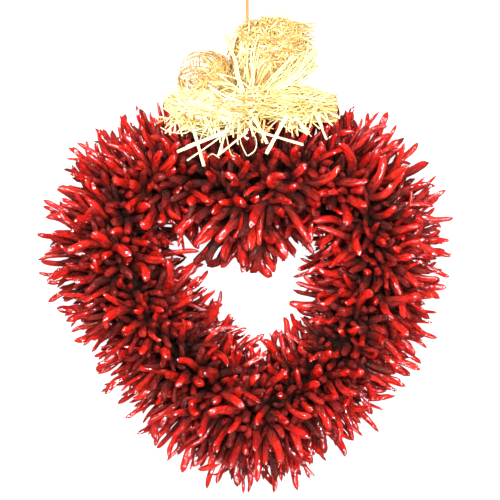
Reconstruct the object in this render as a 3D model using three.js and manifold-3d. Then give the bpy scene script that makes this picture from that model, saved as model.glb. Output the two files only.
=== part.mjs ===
// A heart-shaped wreath of dried red chillies with a raffia bow, lying on its back.
// Millimetres. +X is the wreath's right and +Y its top as it hangs, +Z comes out of its front.
// The pods' stems are bound along a heart-shaped line, and the pods stand out from it all round.
import * as THREE from "three";
import { mergeVertices } from "three/addons/utils/BufferGeometryUtils.js";
import Module from "manifold-3d";

const wasm = await Module();
wasm.setup();

// The heart line that the stems are bound along
const NOTCH_START = [-10, 26]; // each half starts a little past the middle, so the two cross
const HALF_WIDTH = 115;
const WIDEST_Y = 0;
const LOW_TIP_Y = -142;
const LINE_HEIGHT = 24;
const NOTCH_CONTROL = [22, 96];
const LOBE_CONTROL_Y = 60;
// How each arm is drawn in below its lobe: the right arm bulges, the left one runs straighter
const RIGHT_ARM = [
  [117, -52],
  [72, -128],
];
const LEFT_ARM = [
  [112, -30],
  [52, -118],
];

// The packed stems and pod bases round that line
const CORE_RADIUS = 36;
const CORE_SIDES = 12;
const CORE_STEPS = 20;
const CORE_OVERLAP = 12; // how far each half of the core runs past the middle of the low tip

// The pods that show
const POD_WIDTH = 8;
const POD_SIDES = 5;
const POD_ROOT = 20; // distance from the heart line to where a pod starts inside the core
const SIDE_REACH = 66; // distance from the heart line to the tips that point sideways
const FRONT_REACH = 51; // and to those that point to the front
const INNER_REACH = 60; // and to those that point into the middle of the heart
const REACH_SPREAD = 8;
const LOWEST_ANGLE = -19; // degrees from the plane of the heart to the lowest pods
const LEAN = 0.38; // the most that a pod leans along the heart line
const NOTCH_FAN = 1.1; // how far the inner pods of the notch lean towards each other
const NOTCH_FAN_SHARE = 0.13; // and the share of each half that does so
// The front pods of the notch droop towards the hole: how far, and where they do so
const NOTCH_DROOP = 0.8;
const NOTCH_HALF_WIDTH = 45;
const NOTCH_LOW_Y = 10;
const NOTCH_FULL_Y = 30;
const BEND = 7; // the most that a tip is bent to one side
const TIP_SPACING = 21.7;
const POD_TRIES = 9000;
const LEAST_SHOWN = 7; // how far every tip stands out of the core
const SHORTER = [1, 0.88, 0.78]; // the shares of its reach that a pod tries until it fits
// The open middle of the heart, which no pod enters: left, right, low and high edges of its parts
const OPEN_MIDDLE = [
  [-31, 45, -50.5, 4],
  [-8.5, 36, -75.5, -49.5],
  [-56.5, -30, -23, 17],
];
const OPEN_HEIGHT = 100;

// The raffia bow, tied over the notch and leaning on the pods under it
const KNOT = new THREE.Vector3(1.5, 129.5, 57);
const RIGHT_LOOP_END = new THREE.Vector3(38, 206, 16);
const RIGHT_LOOP_RADIUS = 39;
const LEFT_LOOP_END = new THREE.Vector3(-58, 160, 10);
const LEFT_LOOP_RADIUS = 25;
const LOOP_FLATNESS = 0.86;
const LOOP_SIDES = 10;
const LOOP_RINGS = 7;
const STRANDS_A_LOOP = 3;
const STRAND_HALF_STEPS = 4;
const FAN_HEIGHT = 65;
const FAN_FLATNESS = 0.55;
const FAN_RINGS = 7;
const FANS = [
  { from: [20, 124], to: [-77, 127], radius: 21 },
  { from: [-15, 124], to: [81, 127], radius: 17.5 },
];
const STRAND_WIDTH = 4;
const STRAND_THICKNESS = 2;
const TIE_RADIUS = 6.5;
// Strands that cross the front of the loops: the wide ones run up from the knot, the last two
// are the string's own, which part below the place where it leaves the bow
const FRONT_STRANDS = [
  [[-21, 196, 44], [-12, 169, 56], [-6, 150, 64]],
  [[8, 183, 52], [4, 157, 68], [2, 142, 66]],
  [[15, 193, 46], [11, 172, 63], [6, 148, 69]],
  [[47, 166, 56], [28, 149, 66], [10, 136, 66]],
  [[1, 200.2, 29], [-8, 189, 38], [-12, 178, 42]],
  [[1, 200.2, 29], [12, 191, 46], [17, 182, 56]],
];
// Loose ends that hang below the knot: where each leaves the bow, and its tip
const LOOSE_ENDS = [
  [[-44, 111], [-60, 88, 71]],
  [[-40, 109], [-27, 101, 77]],
  [[-26, 107], [-49, 79, 74]],
  [[-36, 107], [-35, 75, 73]],
  [[-16, 107], [-24, 84, 76]],
  [[-6, 107], [-12, 96, 77]],
  [[0, 107], [1, 83, 75]],
  [[14, 109], [8, 87, 76]],
  [[34, 109], [17, 86, 75]],
  [[22, 107], [50, 93, 76]],
  [[42, 112], [54, 101, 75]],
  [[58, 116], [71, 97, 72]],
  [[66, 120], [82, 105, 70]],
  [[64, 127], [84, 116, 67]],
  [[62, 131], [84, 130, 65]],
  [[-56, 127], [-78, 139, 63]],
  [[-58, 121], [-79, 124, 63]],
  [[-56, 116], [-72, 104, 67]],
];

// The hanging string: out of the top of the bow, down to the surface and along it to its knot
const STRING_DIAMETER = 3;
const STRING_SIDES = 8;
const STRING_STEPS = 14;
const STRING_ROUTE = [
  [1.0, 202.6, 30.0],
  [1.0, 205.2, 30.2],
  [1.0, 207.8, 29.4],
  [1.0, 210.3, 27.6],
  [1.0, 212.6, 25.0],
  [1.0, 214.9, 21.8],
  [1.0, 217.2, 18.2],
  [1.0, 219.7, 14.5],
  [1.0, 222.5, 10.9],
  [1.0, 225.7, 7.6],
  [1.0, 229.4, 4.9],
  [1.0, 233.6, 2.9],
  [1.1, 238.3, 1.9],
  [1.2, 243.3, 1.6],
  [1.3, 248.5, 1.6],
  [1.4, 253.7, 1.6],
];
const EYE_RADIUS = 6; // the small tied eye that the string ends in
const EYE_KNOT_RADIUS = 3;

const GAP = 0.35;
const UP = new THREE.Vector3(0, 0, 1);

// Repeatable random numbers from 0 to 1
function seeded(seed) {
  let state = seed;
  return () => {
    state = (state + 0x6d2b79f5) | 0;
    let mixed = Math.imul(state ^ (state >>> 15), 1 | state);
    mixed = (mixed + Math.imul(mixed ^ (mixed >>> 7), 61 | mixed)) ^ mixed;
    return ((mixed ^ (mixed >>> 14)) >>> 0) / 4294967296;
  };
}

function vector(x, y, z) {
  return new THREE.Vector3(x, y, z);
}

// A closed three.js geometry as a solid that can be joined and cut
function solidOf(geometry) {
  const bare = geometry.index ? geometry.toNonIndexed() : geometry.clone();
  bare.deleteAttribute("normal");
  bare.deleteAttribute("uv");
  const merged = mergeVertices(bare, 1e-3);
  const mesh = new wasm.Mesh({
    numProp: 3,
    vertProperties: merged.attributes.position.array,
    triVerts: new Uint32Array(merged.index.array),
  });
  return new wasm.Manifold(mesh);
}

function geometryOf(solid) {
  const mesh = solid.getMesh();
  const geometry = new THREE.BufferGeometry();
  geometry.setAttribute("position", new THREE.BufferAttribute(mesh.vertProperties, 3));
  geometry.setIndex(new THREE.BufferAttribute(mesh.triVerts, 1));
  geometry.computeVertexNormals();
  return geometry;
}

// Joins solids into one body: small hollows that joining seals are filled, loose scraps dropped
function joined(solids) {
  const bodies = wasm.Manifold.union(solids).decompose();
  return bodies.reduce((best, body) => (body.volume() > best.volume() ? body : best));
}

function tube(curve, radius, sides, steps) {
  const section = new THREE.Shape();
  for (let i = 0; i < sides; i++) {
    const angle = (i / sides) * 2 * Math.PI;
    const place = [radius * Math.cos(angle), radius * Math.sin(angle)];
    if (i === 0) section.moveTo(...place);
    else section.lineTo(...place);
  }
  section.closePath();
  return new THREE.ExtrudeGeometry(section, { steps, extrudePath: curve, bevelEnabled: false });
}

// A body of revolution from start to end. radiusAt gives its radius from 0 to 1 along the way,
// and flatness shrinks it across the heart's plane.
function turned(start, end, radiusAt, rings, sides, flatness = 1) {
  const length = start.distanceTo(end);
  const profile = [];
  for (let i = 0; i <= rings; i++) {
    const along = 0.5 - 0.5 * Math.cos((Math.PI * i) / rings);
    profile.push(new THREE.Vector2(i === 0 || i === rings ? 0 : radiusAt(along), along * length));
  }
  const geometry = new THREE.LatheGeometry(profile, sides);
  geometry.scale(1, 1, flatness);
  const along = end.clone().sub(start).normalize();
  const across = along.clone().cross(UP).normalize();
  const place = new THREE.Matrix4().makeBasis(across, along, across.clone().cross(along));
  return geometry.applyMatrix4(place.setPosition(start));
}

// The heart line
function halfHeart(side, armControls) {
  const place = (x, y) => vector(side * x, y, LINE_HEIGHT);
  const widest = place(HALF_WIDTH, WIDEST_Y);
  const half = new THREE.CurvePath();
  half.add(
    new THREE.CubicBezierCurve3(
      place(...NOTCH_START),
      place(...NOTCH_CONTROL),
      place(HALF_WIDTH, LOBE_CONTROL_Y),
      widest,
    ),
  );
  const [upper, lower] = armControls;
  half.add(
    new THREE.CubicBezierCurve3(widest, place(...upper), place(...lower), place(0, LOW_TIP_Y)),
  );
  return half;
}

const HALVES = [
  { side: 1, line: halfHeart(1, RIGHT_ARM) },
  { side: -1, line: halfHeart(-1, LEFT_ARM) },
];

// Where the heart line is at a share of a half, from notch to tip, and which way it runs and
// faces outwards there
function heartFrame(share, { side, line }) {
  const step = 0.004;
  const ahead = line.getPoint(Math.min(share + step, 1));
  const along = ahead.sub(line.getPoint(Math.max(share - step, 0))).normalize();
  const outward = vector(-side * along.y, side * along.x, 0);
  return { point: line.getPoint(share), along, outward };
}

// The core: a round bundle along the heart, flat where it lies on its back
function coreSolid(radius) {
  const halves = HALVES.map(({ side, line }) => {
    const points = [];
    for (let i = 0; i <= CORE_STEPS; i++) points.push(line.getPoint(i / CORE_STEPS));
    points[CORE_STEPS].x -= side * CORE_OVERLAP;
    const middle = new THREE.CatmullRomCurve3(points);
    return solidOf(tube(middle, radius, CORE_SIDES, CORE_STEPS));
  });
  const below = new THREE.BoxGeometry(600, 600, 100).translate(0, 0, -50);
  return joined(halves).subtract(solidOf(below));
}

// A pod: nearly even in width for half its length, then tapered to its tip and bent to one side
function podSolid(frame, angle, lean, reach, bend, grow) {
  const inPlane = frame.outward.clone().multiplyScalar(Math.cos(angle));
  const direction = inPlane.addScaledVector(UP, Math.sin(angle)).addScaledVector(frame.along, lean);
  direction.y -= notchDroop(frame.point, angle);
  direction.normalize();
  const start = frame.point.clone().addScaledVector(direction, POD_ROOT);
  const length = reach - POD_ROOT + grow;
  const radius = POD_WIDTH / 2 + grow;
  const profile = [
    new THREE.Vector2(0, 0),
    new THREE.Vector2(radius, 0.05 * length),
    new THREE.Vector2(0.9 * radius, 0.62 * length),
    new THREE.Vector2(0, length),
  ];
  const geometry = new THREE.LatheGeometry(profile, POD_SIDES);
  const places = geometry.attributes.position;
  for (let i = 0; i < places.count; i++) {
    const share = places.getY(i) / length;
    places.setX(i, places.getX(i) + bend * share * share);
  }
  const across = direction.clone().cross(frame.along).normalize();
  const place = new THREE.Matrix4().makeBasis(across, direction, across.clone().cross(direction));
  const solid = solidOf(geometry.applyMatrix4(place.setPosition(start)));
  return { solid, tip: start.addScaledVector(direction, length) };
}

// How far a pod reaches: sideways pods furthest, front pods less, those inside the heart least
function reachAt(angle) {
  const sideways = Math.cos(angle) > 0 ? SIDE_REACH : INNER_REACH;
  const front = Math.max(0, Math.sin(angle)) ** 2;
  return sideways + (FRONT_REACH - sideways) * front;
}

// The inner pods of the notch fan out, so that some of them point straight down
function notchFan(share, angle) {
  const inner = Math.max(0, -Math.cos(angle));
  return NOTCH_FAN * inner * Math.max(0, 1 - share / NOTCH_FAN_SHARE);
}

// How far a pod of the notch droops
function notchDroop(point, angle) {
  const front = Math.max(0, Math.sin(angle));
  const near = Math.exp(-((point.x / NOTCH_HALF_WIDTH) ** 2));
  return NOTCH_DROOP * front * near * THREE.MathUtils.smoothstep(point.y, NOTCH_LOW_Y, NOTCH_FULL_Y);
}

// Whether a pod's tip stands clear of the bound stems of every stretch of the heart
function standsOut(tip) {
  for (const { line } of HALVES)
    for (let i = 0; i <= CORE_STEPS; i++) {
      const point = line.getPoint(i / CORE_STEPS);
      if (point.distanceTo(tip) < CORE_RADIUS + LEAST_SHOWN) return false;
    }
  return true;
}

// The space inside the heart that stays open, from its back to its front
function openMiddle() {
  return OPEN_MIDDLE.map(([left, right, low, high]) => {
    const space = new THREE.BoxGeometry(right - left, high - low, OPEN_HEIGHT);
    return solidOf(space.translate((left + right) / 2, (low + high) / 2, OPEN_HEIGHT / 2));
  });
}

// Pods spread evenly: places are tried in a seeded order, and a pod is kept where its tip stands
// clear of the tips so far. One that would meet the raffia or enter the open middle is shortened,
// or left out.
function pods(obstacles) {
  const random = seeded(11);
  const lowest = THREE.MathUtils.degToRad(LOWEST_ANGLE);
  const kept = [];
  const tips = [];
  for (let i = 0; i < POD_TRIES; i++) {
    const share = random();
    const frame = heartFrame(share, HALVES[i % 2]);
    const angle = lowest + (Math.PI - 2 * lowest) * random();
    const lean = LEAN * (2 * random() - 1) - notchFan(share, angle);
    const reach = reachAt(angle) + REACH_SPREAD * (random() - 0.5);
    const bend = BEND * (2 * random() - 1);
    const whole = podSolid(frame, angle, lean, reach, bend, 0);
    if (tips.some((tip) => tip.distanceTo(whole.tip) < TIP_SPACING)) continue;
    if (whole.solid.boundingBox().min[2] < GAP || !standsOut(whole.tip)) continue;
    for (const length of SHORTER) {
      const grown = podSolid(frame, angle, lean, reach * length, bend, 2 * GAP).solid;
      if (obstacles.some((solid) => !grown.intersect(solid).isEmpty())) continue;
      kept.push(podSolid(frame, angle, lean, reach * length, bend, 0).solid);
      tips.push(whole.tip);
      break;
    }
  }
  return kept;
}

// A flat strand of raffia through points
function strand(points, grow, steps = 3) {
  const side = STRAND_WIDTH / 2 + grow;
  const face = STRAND_THICKNESS / 2 + grow;
  const section = new THREE.Shape();
  section.moveTo(-side, -face);
  section.lineTo(side, -face);
  section.lineTo(side, face);
  section.lineTo(-side, face);
  section.closePath();
  const curve = new THREE.CatmullRomCurve3(points);
  return solidOf(
    new THREE.ExtrudeGeometry(section, { steps, extrudePath: curve, bevelEnabled: false }),
  );
}

// The radius of a loop's puffed bundle along its length
function loopRadius(full) {
  return (share) => full * Math.sin(Math.PI * share ** 0.85) ** 0.55;
}

// A loop of the bow: a puffed bundle with some of its strands standing proud, each running out
// from the knot on one side and back on the other
function loopSolid(end, full, grow) {
  const radiusAt = loopRadius(full);
  const grownAt = loopRadius(full + grow);
  const bundle = solidOf(turned(KNOT, end, grownAt, LOOP_RINGS, LOOP_SIDES, LOOP_FLATNESS));
  const along = end.clone().sub(KNOT);
  const across = along.clone().cross(UP).normalize();
  const upward = across.clone().cross(along).normalize();
  const strands = [];
  for (let i = 0; i < STRANDS_A_LOOP; i++) {
    const turn = (Math.PI * (i + 0.5)) / STRANDS_A_LOOP;
    const side = across.clone().multiplyScalar(Math.cos(turn));
    side.addScaledVector(upward, LOOP_FLATNESS * Math.sin(turn));
    const points = [];
    for (let j = -STRAND_HALF_STEPS; j <= STRAND_HALF_STEPS; j++) {
      const share = 1 - Math.abs(j) / (STRAND_HALF_STEPS + 0.6);
      const radius = Math.sign(j) * radiusAt(share);
      points.push(KNOT.clone().addScaledVector(along, share).addScaledVector(side, radius));
    }
    strands.push(strand(points, grow, 2 * STRAND_HALF_STEPS));
  }
  return joined([bundle, ...strands]);
}

// The spread of cut ends to each side of the knot
function fanSolids(grow) {
  return FANS.map(({ from, to, radius }) => {
    const radiusAt = (share) => (radius + grow) * Math.sin(Math.PI * share ** 0.9) ** 0.55;
    const start = vector(...from, FAN_HEIGHT);
    const end = vector(...to, FAN_HEIGHT);
    return solidOf(turned(start, end, radiusAt, FAN_RINGS, LOOP_SIDES, FAN_FLATNESS));
  });
}

// The tie that runs from the knot down to the bound stems in the notch
function tieSolid() {
  const line = new THREE.CatmullRomCurve3([
    vector(1, 120, FAN_HEIGHT - 4),
    vector(1, 96, 54),
    vector(0, 70, 40),
  ]);
  return solidOf(tube(line, TIE_RADIUS, 8, 5));
}

function looseEnds(grow) {
  return LOOSE_ENDS.map(([root, tip]) => {
    const start = vector(...root, FAN_HEIGHT + 2);
    const end = vector(...tip);
    const middle = start.clone().lerp(end, 0.5).addScaledVector(UP, 4);
    return strand([start, middle, end], grow);
  });
}

function frontStrands(grow) {
  return FRONT_STRANDS.map((route) => strand(route.map((place) => vector(...place)), grow));
}

function stringSolid() {
  const route = STRING_ROUTE.map((place) => vector(...place));
  const line = new THREE.CatmullRomCurve3(route);
  return solidOf(tube(line, STRING_DIAMETER / 2, STRING_SIDES, STRING_STEPS));
}

// The eye at the end of the string: a ring of it, closed by a knot
function eyeSolid() {
  const radius = STRING_DIAMETER / 2;
  const last = vector(...STRING_ROUTE[STRING_ROUTE.length - 1]);
  const knotY = last.y + GAP + EYE_KNOT_RADIUS;
  const knot = new THREE.SphereGeometry(EYE_KNOT_RADIUS, 8, 5);
  knot.translate(last.x, knotY, EYE_KNOT_RADIUS);
  const ring = new THREE.TorusGeometry(EYE_RADIUS, radius, STRING_SIDES, 14);
  ring.translate(last.x, knotY + EYE_RADIUS, radius);
  return joined([solidOf(knot), solidOf(ring)]);
}

const core = coreSolid(CORE_RADIUS);
const coreWithGap = coreSolid(CORE_RADIUS + GAP);
const ends = joined([...fanSolids(0), ...looseEnds(0), tieSolid()]).subtract(coreWithGap);
const besideRight = wasm.Manifold.union([coreWithGap, ...fanSolids(GAP), ...looseEnds(GAP)]);
const rightWhole = joined([loopSolid(RIGHT_LOOP_END, RIGHT_LOOP_RADIUS, 0), ...frontStrands(0)]);
const rightLoop = joined([rightWhole.subtract(besideRight)]);
const rightWithGap = loopSolid(RIGHT_LOOP_END, RIGHT_LOOP_RADIUS, GAP);
const besideLeft = wasm.Manifold.union([besideRight, rightWithGap, ...frontStrands(GAP)]);
const leftLoop = joined([loopSolid(LEFT_LOOP_END, LEFT_LOOP_RADIUS, 0).subtract(besideLeft)]);
const string = stringSolid();
const eye = eyeSolid();
const chillies = joined([core, ...pods([ends, rightLoop, leftLoop, ...openMiddle()])]);

const wreath = new THREE.Group();

function addPiece(name, solid, color, roughness) {
  const material = new THREE.MeshStandardMaterial({ color, roughness, metalness: 0 });
  const mesh = new THREE.Mesh(geometryOf(solid), material);
  mesh.name = name;
  wreath.add(mesh);
}

addPiece("chillies", chillies, 0xa8100f, 0.35);
addPiece("raffia_loop_right", rightLoop, 0xf3d9a0, 0.7);
addPiece("raffia_loop_left", leftLoop, 0xf3d9a0, 0.7);
addPiece("raffia_ends", ends, 0xf7e6bb, 0.7);
addPiece("hanging_string", string, 0xecd49a, 0.7);
addPiece("string_eye", eye, 0xecd49a, 0.7);

export default wreath;
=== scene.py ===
"""A heart-shaped wreath of dried red chillies with a raffia bow, lying on its back.

Lengths are in millimetres up to MM, which turns them into the metres of the frame.
+X is the wreath's right and +Y its top as it hangs, +Z comes out of its front.
"""

import math
from types import SimpleNamespace

import bpy
import numpy as np
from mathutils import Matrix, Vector


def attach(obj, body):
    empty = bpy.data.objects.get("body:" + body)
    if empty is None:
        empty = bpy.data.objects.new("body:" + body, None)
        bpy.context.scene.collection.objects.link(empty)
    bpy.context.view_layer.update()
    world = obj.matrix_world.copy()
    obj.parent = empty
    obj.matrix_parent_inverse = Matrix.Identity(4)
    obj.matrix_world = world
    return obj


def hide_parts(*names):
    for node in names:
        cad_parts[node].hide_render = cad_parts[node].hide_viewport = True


MM = 0.001
STRETCH = 2.4  # how much longer than wide the marks on a pod or a strip are
PATTERN_ROOM = 900  # within which each body's marks start somewhere
CURVE_STEPS = 24  # between two points that a smooth path goes through
SEED = 11
chance = np.random.default_rng(SEED)
uniform, normal = chance.uniform, chance.normal

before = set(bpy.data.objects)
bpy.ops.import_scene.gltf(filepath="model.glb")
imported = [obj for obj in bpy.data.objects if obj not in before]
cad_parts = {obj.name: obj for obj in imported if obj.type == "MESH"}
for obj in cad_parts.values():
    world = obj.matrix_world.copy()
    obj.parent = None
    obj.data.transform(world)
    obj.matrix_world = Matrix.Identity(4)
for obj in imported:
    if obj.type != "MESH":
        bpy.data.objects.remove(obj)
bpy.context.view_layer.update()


# ---- small tools ----

def unit(vectors):
    """The vectors at length 1."""
    lengths = np.linalg.norm(vectors, axis=-1, keepdims=True)
    return vectors / np.maximum(lengths, 1e-9)


def smooth(value):
    """0 below 0, 1 above 1, and an even turn between them."""
    value = np.clip(value, 0, 1)
    return value * value * (3 - 2 * value)


def across_from(vectors, axes):
    """The part of the vectors that stands square to the axes, at length 1."""
    return unit(vectors - np.sum(vectors * axes, axis=-1, keepdims=True) * axes)


def run_along(points):
    """How far along their path the points lie."""
    return np.concatenate([[0], np.cumsum(np.linalg.norm(np.diff(points, axis=0), axis=1))])


def evenly(points, count):
    """The path through the points, as count points at even distances."""
    run = run_along(points)
    places = np.linspace(0, run[-1], count)
    return np.stack([np.interp(places, run, values) for values in points.T], axis=1)


def resampled(points, count):
    """A smooth path of count points through the given ones, evenly spaced."""
    points = np.array(points, float)
    knots = np.vstack([2 * points[0] - points[1], points, 2 * points[-1] - points[-2]])
    fine = []
    for a, b, c, d in zip(knots, knots[1:], knots[2:], knots[3:]):
        t = np.linspace(0, 1, CURVE_STEPS, endpoint=False)[:, None]
        fine.append(0.5 * (2 * b + (c - a) * t + (2 * a - 5 * b + 4 * c - d) * t ** 2
                           + (3 * b - a - 3 * c + d) * t ** 3))
    return evenly(np.vstack(fine + [points[-1:]]), count)


def circle(sides):
    """The angles of the sides of a ring."""
    return np.linspace(0, 2 * math.pi, sides, endpoint=False)


def wander(count, amount):
    """A gentle random drift in three directions along a path of count points."""
    t = np.linspace(0, 1, count)[:, None]
    drift = np.zeros((count, 3))
    for wave in (1, 2, 3):
        size = normal(0, amount / wave, 3)
        drift += size * np.sin(math.pi * wave * t + uniform(0, 2 * math.pi, 3))
    return drift


def skin_places(rings):
    """Where a body's points lie on its own skin, so that a pattern can run along it.

    The first two numbers go round the body and the third runs along it, STRETCH times slower;
    each body starts somewhere else in the pattern.
    """
    steps, sides = rings.shape[:2]
    middle = rings.mean(axis=1)
    run = run_along(middle)
    reach = np.linalg.norm(rings - middle[:, None], axis=2)
    turn = circle(sides)
    places = np.stack([reach * np.cos(turn), reach * np.sin(turn),
                       np.broadcast_to(run[:, None] / STRETCH, (steps, sides))], axis=2)
    ends = np.array([[0, 0, 0], [0, 0, run[-1] / STRETCH]])
    return np.vstack([places.reshape(-1, 3), ends]) + uniform(0, PATTERN_ROOM, 3)


def new_object(name, data):
    made = bpy.data.objects.new(name, data)
    bpy.context.scene.collection.objects.link(made)
    return made


class Heap:
    """Lofted bodies that end up in one mesh, each with its own tint."""

    def __init__(self):
        self.places, self.tints, self.shares, self.skins = [], [], [], []
        self.corners, self.sizes = [], []
        self.count = 0

    def add(self, rings, tint):
        """A closed body through rings of points, an array of (rings, sides, 3)."""
        steps, sides = rings.shape[:2]
        ends = np.stack([rings[0].mean(axis=0), rings[-1].mean(axis=0)])
        shares = np.repeat(np.linspace(0, 1, steps), sides)
        self.places.append(np.vstack([rings.reshape(-1, 3), ends]))
        self.skins.append(skin_places(rings))
        self.shares.append(np.concatenate([shares, [0, 1]]))
        self.tints.append(np.full(steps * sides + 2, tint))
        side = np.arange(sides)
        ahead = (side + 1) % sides
        start = np.arange(steps - 1)[:, None] * sides
        quads = np.stack([start + side, start + ahead, start + sides + ahead,
                          start + sides + side], axis=-1)
        last, low_end = (steps - 1) * sides, steps * sides
        low_cap = np.stack([ahead, side, np.full(sides, low_end)], axis=-1)
        high_cap = np.stack([last + side, last + ahead, np.full(sides, low_end + 1)], axis=-1)
        for faces in (quads.reshape(-1, 4), low_cap, high_cap):
            self.corners.append((faces + self.count).ravel())
            self.sizes.append(np.full(len(faces), faces.shape[1]))
        self.count += steps * sides + 2

    def build(self, name, material, node, slot, is_smooth=True):
        """One mesh of all the bodies, shown in the place of a CAD node."""
        places = np.vstack(self.places) * MM
        corners, sizes = np.concatenate(self.corners), np.concatenate(self.sizes)
        mesh = bpy.data.meshes.new(name)
        mesh.vertices.add(len(places))
        mesh.vertices.foreach_set("co", places.astype(np.float32).ravel())
        mesh.loops.add(len(corners))
        mesh.loops.foreach_set("vertex_index", corners.astype(np.int32))
        mesh.polygons.add(len(sizes))
        starts = np.concatenate([[0], np.cumsum(sizes)[:-1]])
        mesh.polygons.foreach_set("loop_start", starts.astype(np.int32))
        mesh.polygons.foreach_set("use_smooth", np.full(len(sizes), is_smooth))
        mesh.update(calc_edges=True)
        mesh.validate()
        for label, kind, field, values in (("tint", "FLOAT", "value", self.tints),
                                           ("share", "FLOAT", "value", self.shares),
                                           ("skin", "FLOAT_VECTOR", "vector", self.skins)):
            attribute = mesh.attributes.new(label, kind, "POINT")
            values = np.concatenate(values).astype(np.float32)
            attribute.data.foreach_set(field, values.ravel())
        mesh.materials.append(material)
        made = new_object(name, mesh)
        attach(made, "root")
        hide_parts(node)
        return made


# ---- materials ----

class NodeMaterial:
    """A material's node tree, with short ways to add nodes before its Principled shader."""

    def __init__(self, name):
        self.material = bpy.data.materials.new(name)
        self.material.use_nodes = True
        self.tree = self.material.node_tree
        self.shader = self.tree.nodes["Principled BSDF"]

    def fill(self, node, inputs):
        """Links a node's sockets to other nodes' or sets them to plain values."""
        for socket, value in inputs.items():
            if isinstance(value, bpy.types.NodeSocket):
                self.tree.links.new(value, node.inputs[socket])
            else:
                node.inputs[socket].default_value = value

    def shade(self, inputs):
        self.fill(self.shader, inputs)

    def add(self, kind, inputs, **settings):
        node = self.tree.nodes.new(kind)
        for key, value in settings.items():
            setattr(node, key, value)
        self.fill(node, inputs)
        return node

    def attribute(self, name, output="Fac"):
        return self.add("ShaderNodeAttribute", {}, attribute_name=name).outputs[output]

    def object_place(self):
        return self.add("ShaderNodeTexCoord", {}).outputs["Object"]

    def noise(self, place, scale, detail=2.0, roughness=0.5, distortion=0.0):
        return self.add("ShaderNodeTexNoise", {
            "Vector": place, "Scale": scale, "Detail": detail, "Roughness": roughness,
            "Distortion": distortion}).outputs["Fac"]

    def remap(self, value, low, high, to_low=0.0, to_high=1.0):
        """The value, with what runs from low to high made to run from to_low to to_high."""
        return self.add("ShaderNodeMapRange", {
            "Value": value, "From Min": low, "From Max": high, "To Min": to_low,
            "To Max": to_high}).outputs["Result"]

    def combine(self, operation, first, second):
        return self.add("ShaderNodeMath", {0: first, 1: second}, operation=operation).outputs[0]

    def stretched(self, place, factors):
        return self.add("ShaderNodeVectorMath", {0: place, 1: factors},
                        operation="MULTIPLY").outputs["Vector"]

    def bump(self, height, strength, distance):
        return self.add("ShaderNodeBump", {"Height": height, "Strength": strength,
                                           "Distance": distance}).outputs["Normal"]

    def ramp(self, factor, stops):
        node = self.add("ShaderNodeValToRGB", {"Fac": factor})
        elements = node.color_ramp.elements
        for place, colour in stops[1:-1]:
            elements.new(place)
        for element, (place, colour) in zip(elements, stops):
            element.position, element.color = place, (*colour, 1)
        return node.outputs["Color"]

    def blend(self, factor, colour, other):
        """From a plain colour at factor 0 to another node's colour at factor 1."""
        node = self.add("ShaderNodeMix", {"Factor": factor}, data_type="RGBA")
        first, second = [socket for socket in node.inputs if socket.type == "RGBA"]
        first.default_value = (*colour, 1)
        self.tree.links.new(other, second)
        return next(socket for socket in node.outputs if socket.type == "RGBA")


PAINTED_SHADE_SKIN = (0.034, 0.015, 0.012)  # painted shade: the dull dark colour a pod's skin turns to near its stem and in its creases
SKIN_COLOURS = [(0.0, (0.10, 0.005, 0.005)), (0.35, (0.40, 0.007, 0.006)),
                (0.7, (0.84, 0.011, 0.006)), (1.0, (0.96, 0.022, 0.009))]
# Painted shade along a pod: how much of its own red it shows, from its stem to its tip
PAINTED_SHADE_ALONG = [(0.0, 0.02), (0.35, 0.10), (0.6, 0.48), (0.8, 0.98), (0.95, 1.0), (1.0, 0.4)]
GROOVE_DIRECTION = (1, 1, 0.4)  # the grooves, darkened with painted shade, run along a pod


def chilli_material(name, gloss_weight, painted_brightness):
    """Dried chilli skin: glossy in patches, finely wrinkled, with painted shade towards the stem
    and in its wrinkles and grooves.
    """
    made = NodeMaterial(name)
    share, skin_place = made.attribute("share"), made.attribute("skin", "Vector")
    patches = made.noise(skin_place, 0.26, detail=4, roughness=0.65)
    level = made.combine("ADD", made.attribute("tint"),
                         made.remap(patches, 0.3, 0.7, -0.24, 0.24))
    wrinkles = made.noise(skin_place, 0.32, detail=4, roughness=0.58, distortion=0.7)
    grooves = made.noise(made.stretched(skin_place, GROOVE_DIRECTION), 0.6, detail=1,
                         distortion=0.5)
    # painted shade: the skin darkens towards the stem, where the pods lie deep
    lit_along = made.ramp(share, [(place, [painted_brightness * full] * 3) for place, full in PAINTED_SHADE_ALONG])
    # painted shade in the hollows of the wrinkles and along the grooves
    lit_share = made.combine("MULTIPLY", lit_along, made.remap(wrinkles, 0.36, 0.45, 0.5, 1.0))
    lit_share = made.combine("MULTIPLY", lit_share, made.remap(grooves, 0.36, 0.44, 0.45, 1.0))
    polish = made.noise(skin_place, 0.75, detail=1, distortion=0.6)
    polished = made.combine("MAXIMUM", made.remap(polish, 0.43, 0.5, 0.1, 1.0),
                            made.remap(share, 0.84, 0.94))  # the tips are always polished
    puckers = made.noise(skin_place, 0.34, detail=0.5, distortion=0.4)
    made.shade({
        "Base Color": made.blend(lit_share, PAINTED_SHADE_SKIN, made.ramp(level, SKIN_COLOURS)),
        "Normal": made.bump(wrinkles, 1.0, 0.0065),
        "Roughness": made.remap(wrinkles, 0.3, 0.7, 0.26, 0.44),
        "Specular IOR Level": 0.1,
        "Coat Weight": made.combine("MULTIPLY", polished,
                                    made.remap(share, 0.3, 0.6, 0.0, gloss_weight)),
        "Coat Normal": made.bump(puckers, 1.0, 0.0016),
        "Coat IOR": 1.95,
        "Coat Roughness": 0.05})
    return made.material


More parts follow.
